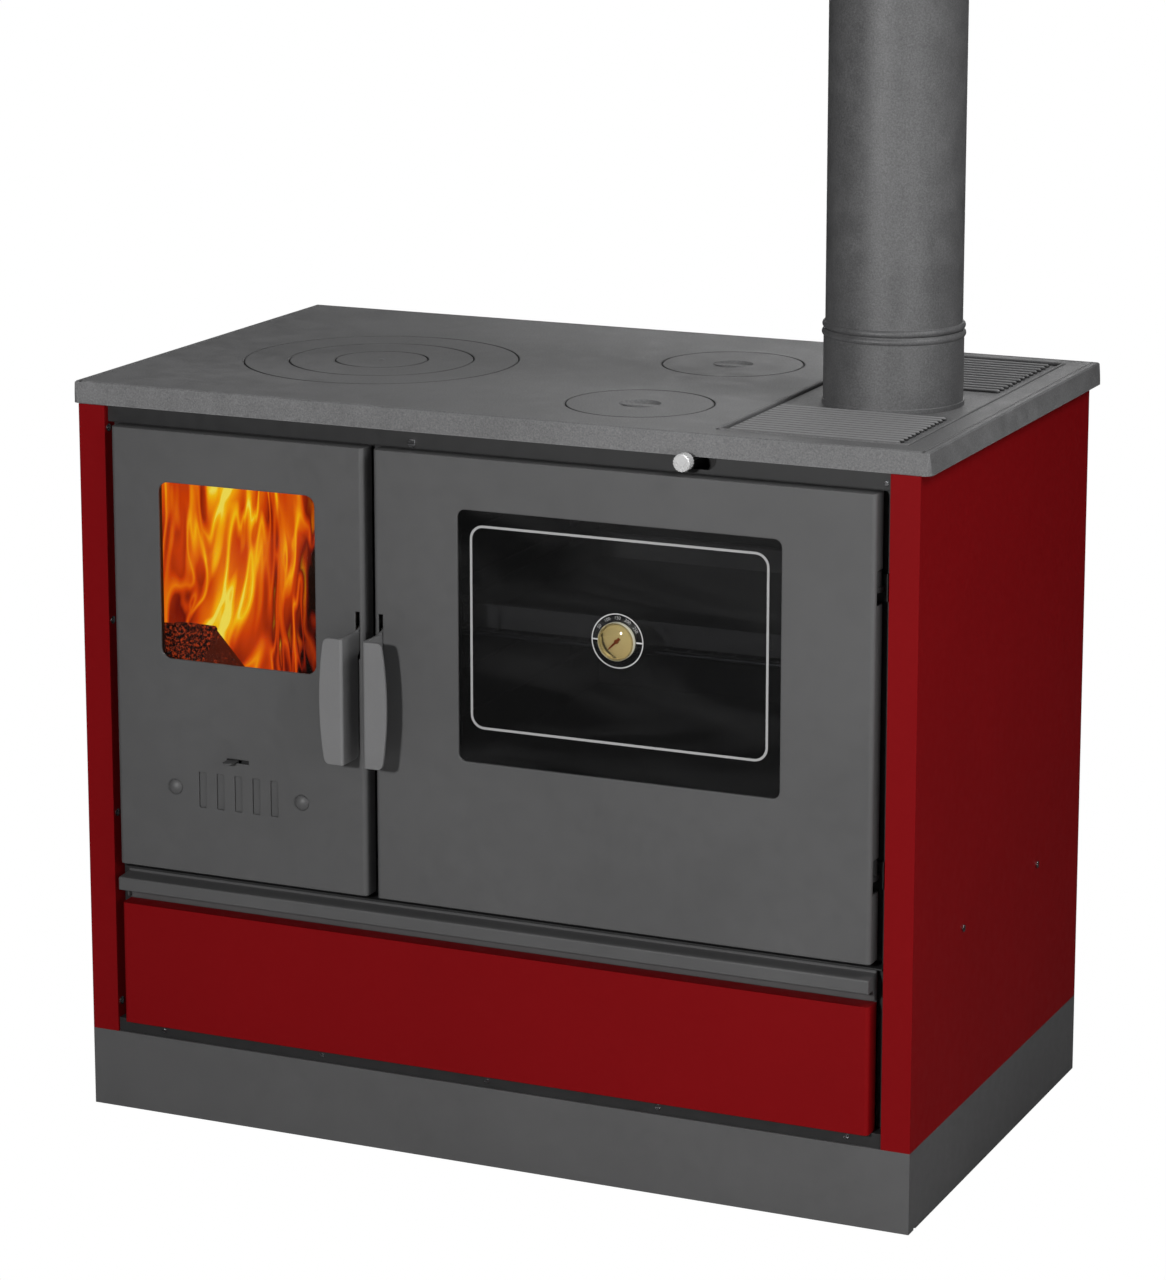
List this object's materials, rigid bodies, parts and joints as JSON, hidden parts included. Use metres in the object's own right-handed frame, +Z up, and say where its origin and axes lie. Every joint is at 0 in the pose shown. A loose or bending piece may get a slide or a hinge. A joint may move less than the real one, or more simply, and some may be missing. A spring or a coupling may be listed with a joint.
{
  "type": "wood-fired range cooker",
  "caption": "Wood-fired range cooker with a cast iron hob, ring plates, firebox and oven doors, a fuel drawer and a stove pipe.",
  "frame": {"origin": "on the floor, in the middle of the whole object's outline seen from above", "axes": "+X to the right along the front, -Y towards the user in front of the doors, +Z up along the stove pipe"},
  "size_m": [1.02, 0.641, 1.362],
  "materials": {
    "red_enamel": "gloss",
    "grey_lacquer": "satin",
    "dark_lacquer": "satin",
    "handle_lacquer": "satin",
    "cast_hob": "rough",
    "cast_black": "rough",
    "pipe_paint": "matt",
    "zinc_sheet": "satin",
    "plated_steel": "polished",
    "oven_enamel": "gloss",
    "fire_brick": "rough, stands for fired clay",
    "door_glass": "clear",
    "dark_glass": "dark, polished",
    "lens_glass": "clear",
    "dial_brass": "satin",
    "needle_red": "satin",
    "seal_rope": "braided glass fibre"
  },
  "bodies": {
    "cabinet": {"plinth_front": "dark_lacquer", "plinth_sides": "dark_lacquer", "plinth_back": "dark_lacquer", "levelling_feet": "zinc_sheet", "base_pan": "zinc_sheet", "side_panel_left": "red_enamel", "side_panel_right": "red_enamel", "back_panel": "zinc_sheet", "fascia": "dark_lacquer", "frame_stiles": "dark_lacquer", "frame_rails": "dark_lacquer", "sill_strip": "dark_lacquer", "hob_plate": "cast_hob", "flue_plate": "cast_hob", "flue_collar": "pipe_paint", "flue_pipe": "pipe_paint", "firebox_shell": "cast_black", "firebrick_sides": "fire_brick", "firebrick_back": "fire_brick", "fire_grate": "cast_black", "log_bar": "cast_black", "ash_pan": "zinc_sheet", "smoke_deck": "cast_black", "oven_liner": "oven_enamel", "oven_runners": "plated_steel", "oven_rack": "plated_steel", "baking_tray": "oven_enamel", "drawer_rails": "zinc_sheet", "hinge_lugs": "dark_lacquer", "latch_keepers": "zinc_sheet", "case_screws": "plated_steel"},
    "fire_door": {"fire_door_skin": "grey_lacquer", "fire_door_frame": "dark_lacquer", "fire_door_glass": "door_glass", "fire_glass_clips": "zinc_sheet", "fire_door_seal": "seal_rope", "air_guide": "zinc_sheet", "air_rivets": "grey_lacquer"},
    "air_slider": {"air_shutter": "grey_lacquer"},
    "fire_latch": {"fire_handle": "handle_lacquer"},
    "oven_door": {"oven_door_skin": "grey_lacquer", "oven_door_frame": "dark_lacquer", "oven_door_glass": "dark_glass", "oven_inner_glass": "door_glass", "oven_door_seal": "seal_rope", "thermometer_case": "dial_brass", "thermometer_lens": "lens_glass"},
    "dial_needle": {"thermometer_needle": "needle_red"},
    "oven_latch": {"oven_handle": "handle_lacquer"},
    "fuel_drawer": {"drawer_front": "red_enamel", "drawer_pull_rail": "grey_lacquer", "drawer_box": "zinc_sheet"},
    "flue_damper": {"damper_knob": "plated_steel", "damper_slide": "zinc_sheet"},
    "outer_ring": {"hob_ring_outer": "cast_hob"},
    "middle_ring": {"hob_ring_middle": "cast_hob"},
    "centre_disc": {"hob_disc": "cast_hob"},
    "lid_front": {"front_lid": "cast_hob"},
    "lid_rear": {"rear_lid": "cast_hob"}
  },
  "joints": [
    {"name": "fire_door_hinge", "type": "hinge", "parent": "cabinet", "child": "fire_door", "pos_m": [-0.449, -0.2625, 0.55], "axis": [0, 0, -1], "range_deg": [0, 98]},
    {"name": "oven_door_hinge", "type": "hinge", "parent": "cabinet", "child": "oven_door", "pos_m": [0.449, -0.2625, 0.55], "axis": [0, 0, 1], "range_deg": [0, 98]},
    {"name": "air_slide", "type": "slide", "parent": "fire_door", "child": "air_slider", "axis": [1, 0, 0], "range_m": [0, 0.012]},
    {"name": "fire_latch_turn", "type": "hinge", "parent": "fire_door", "child": "fire_latch", "pos_m": [-0.147, -0.2665, 0.598], "axis": [-1, 0, 0], "range_deg": [0, 15]},
    {"name": "oven_latch_turn", "type": "hinge", "parent": "oven_door", "child": "oven_latch", "pos_m": [-0.119, -0.2665, 0.598], "axis": [-1, 0, 0], "range_deg": [0, 15]},
    {"name": "needle_turn", "type": "hinge", "parent": "oven_door", "child": "dial_needle", "pos_m": [0.163, -0.2785, 0.619], "axis": [0, 1, 0], "range_deg": [0, 270]},
    {"name": "drawer_slide", "type": "slide", "parent": "cabinet", "child": "fuel_drawer", "axis": [0, -1, 0], "range_m": [0, 0.4]},
    {"name": "damper_pull", "type": "slide", "parent": "cabinet", "child": "flue_damper", "axis": [0, -1, 0], "range_m": [0, 0.06]},
    {"name": "outer_ring_lift", "type": "slide", "parent": "cabinet", "child": "outer_ring", "axis": [0, 0, 1], "range_m": [0, 0.12]},
    {"name": "middle_ring_lift", "type": "slide", "parent": "outer_ring", "child": "middle_ring", "axis": [0, 0, 1], "range_m": [0, 0.12]},
    {"name": "centre_disc_lift", "type": "slide", "parent": "middle_ring", "child": "centre_disc", "axis": [0, 0, 1], "range_m": [0, 0.12]},
    {"name": "front_lid_lift", "type": "slide", "parent": "cabinet", "child": "lid_front", "axis": [0, 0, 1], "range_m": [0, 0.12]},
    {"name": "rear_lid_lift", "type": "slide", "parent": "cabinet", "child": "lid_rear", "axis": [0, 0, 1], "range_m": [0, 0.12]}
  ]
}
